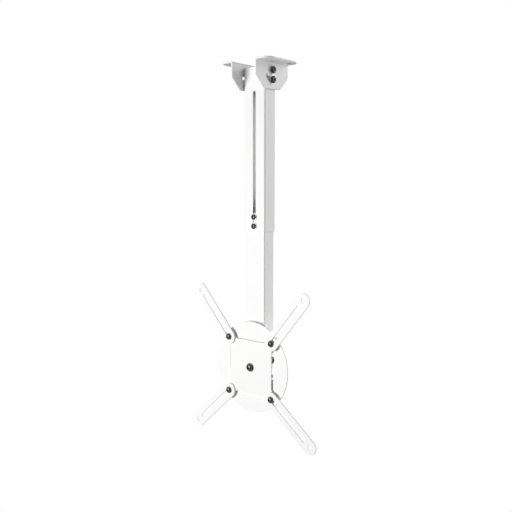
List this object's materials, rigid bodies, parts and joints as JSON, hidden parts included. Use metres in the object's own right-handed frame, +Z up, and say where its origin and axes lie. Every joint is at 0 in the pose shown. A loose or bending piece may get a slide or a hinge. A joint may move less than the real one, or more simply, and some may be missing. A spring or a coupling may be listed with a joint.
{
  "type": "projector ceiling mount",
  "caption": "White steel ceiling mount for a projector: hinged brackets, telescopic column, tilting and turning head with slotted arms that swing and slide.",
  "frame": {"origin": "the ceiling plane, midway between the two brackets, above the column's axis", "axes": "+Z up, the column hangs along -Z; -Y is the front, where the clamp slot and the head's plate face; +X is the object's left, seen on the right from the front"},
  "size_m": [0.3035, 0.09, 0.7044],
  "materials": {
    "white_powder_coat": "satin",
    "dark_steel": "satin",
    "zinc_steel": "satin",
    "pale_nylon": "matte",
    "black_plastic": "matte"
  },
  "bodies": {
    "ceiling_mount": {"ceiling_bracket_right": "white_powder_coat", "ceiling_bracket_left": "white_powder_coat", "pivot_bolt": "dark_steel", "pivot_washers": "zinc_steel", "pivot_nut": "zinc_steel", "pivot_spacers": "pale_nylon"},
    "outer_column": {"outer_tube": "white_powder_coat", "tube_liner": "black_plastic", "lock_bolt": "dark_steel", "lock_washers": "zinc_steel", "lock_nut": "zinc_steel", "lock_spacers": "pale_nylon"},
    "inner_column": {"inner_tube": "white_powder_coat", "top_glide": "black_plastic", "clamp_screws": "dark_steel", "clamp_washers": "zinc_steel", "clamp_nut_plate": "zinc_steel", "head_spacers": "pale_nylon"},
    "tilt_head": {"tilt_disc": "white_powder_coat", "head_pivot_bolt": "dark_steel", "head_pivot_washers": "zinc_steel", "head_pivot_nut": "zinc_steel", "friction_washer": "black_plastic", "centre_screw": "dark_steel", "centre_washer": "dark_steel", "centre_nut": "zinc_steel"},
    "arm_plate": {"mounting_plate": "white_powder_coat", "press_nuts": "zinc_steel"},
    "turn_upper_left": {"arm_screw_upper_left": "dark_steel", "arm_washer_upper_left": "dark_steel"},
    "arm_upper_left_body": {"arm_upper_left": "white_powder_coat"},
    "turn_upper_right": {"arm_screw_upper_right": "dark_steel", "arm_washer_upper_right": "dark_steel"},
    "arm_upper_right_body": {"arm_upper_right": "white_powder_coat"},
    "turn_lower_left": {"arm_screw_lower_left": "dark_steel", "arm_washer_lower_left": "dark_steel"},
    "arm_lower_left_body": {"arm_lower_left": "white_powder_coat"},
    "turn_lower_right": {"arm_screw_lower_right": "dark_steel", "arm_washer_lower_right": "dark_steel"},
    "arm_lower_right_body": {"arm_lower_right": "white_powder_coat"}
  },
  "joints": [
    {"name": "column_tilt", "type": "hinge", "parent": "ceiling_mount", "child": "outer_column", "pos_m": [0, 0, -0.0165], "axis": [-1, 0, 0], "range_deg": [0, 45]},
    {"name": "column_extend", "type": "slide", "parent": "outer_column", "child": "inner_column", "axis": [0, 0, 1], "range_m": [0, 0.224]},
    {"name": "head_tilt", "type": "hinge", "parent": "inner_column", "child": "tilt_head", "pos_m": [0, 0, -0.55], "axis": [1, 0, 0], "range_deg": [0, 105]},
    {"name": "head_swivel", "type": "hinge", "parent": "tilt_head", "child": "arm_plate", "pos_m": [0, -0.02565, -0.5635], "axis": [0, -1, 0], "continuous": true},
    {"name": "arm_swing_upper_left", "type": "hinge", "parent": "arm_plate", "child": "turn_upper_left", "pos_m": [-0.052, -0.02825, -0.5115], "axis": [0, -1, 0], "range_deg": [-22, 22]},
    {"name": "arm_slide_upper_left", "type": "slide", "parent": "turn_upper_left", "child": "arm_upper_left_body", "axis": [0.6691, 0, -0.7431], "range_m": [0, 0.038]},
    {"name": "arm_swing_upper_right", "type": "hinge", "parent": "arm_plate", "child": "turn_upper_right", "pos_m": [0.052, -0.02825, -0.5115], "axis": [0, -1, 0], "range_deg": [-22, 22]},
    {"name": "arm_slide_upper_right", "type": "slide", "parent": "turn_upper_right", "child": "arm_upper_right_body", "axis": [-0.6428, 0, -0.766], "range_m": [0, 0.038]},
    {"name": "arm_swing_lower_left", "type": "hinge", "parent": "arm_plate", "child": "turn_lower_left", "pos_m": [-0.052, -0.02825, -0.6155], "axis": [0, -1, 0], "range_deg": [-22, 22]},
    {"name": "arm_slide_lower_left", "type": "slide", "parent": "turn_lower_left", "child": "arm_lower_left_body", "axis": [0.7431, 0, 0.6691], "range_m": [0, 0.038]},
    {"name": "arm_swing_lower_right", "type": "hinge", "parent": "arm_plate", "child": "turn_lower_right", "pos_m": [0.052, -0.02825, -0.6155], "axis": [0, -1, 0], "range_deg": [-22, 22]},
    {"name": "arm_slide_lower_right", "type": "slide", "parent": "turn_lower_right", "child": "arm_lower_right_body", "axis": [-0.788, 0, 0.6157], "range_m": [0, 0.038]}
  ]
}
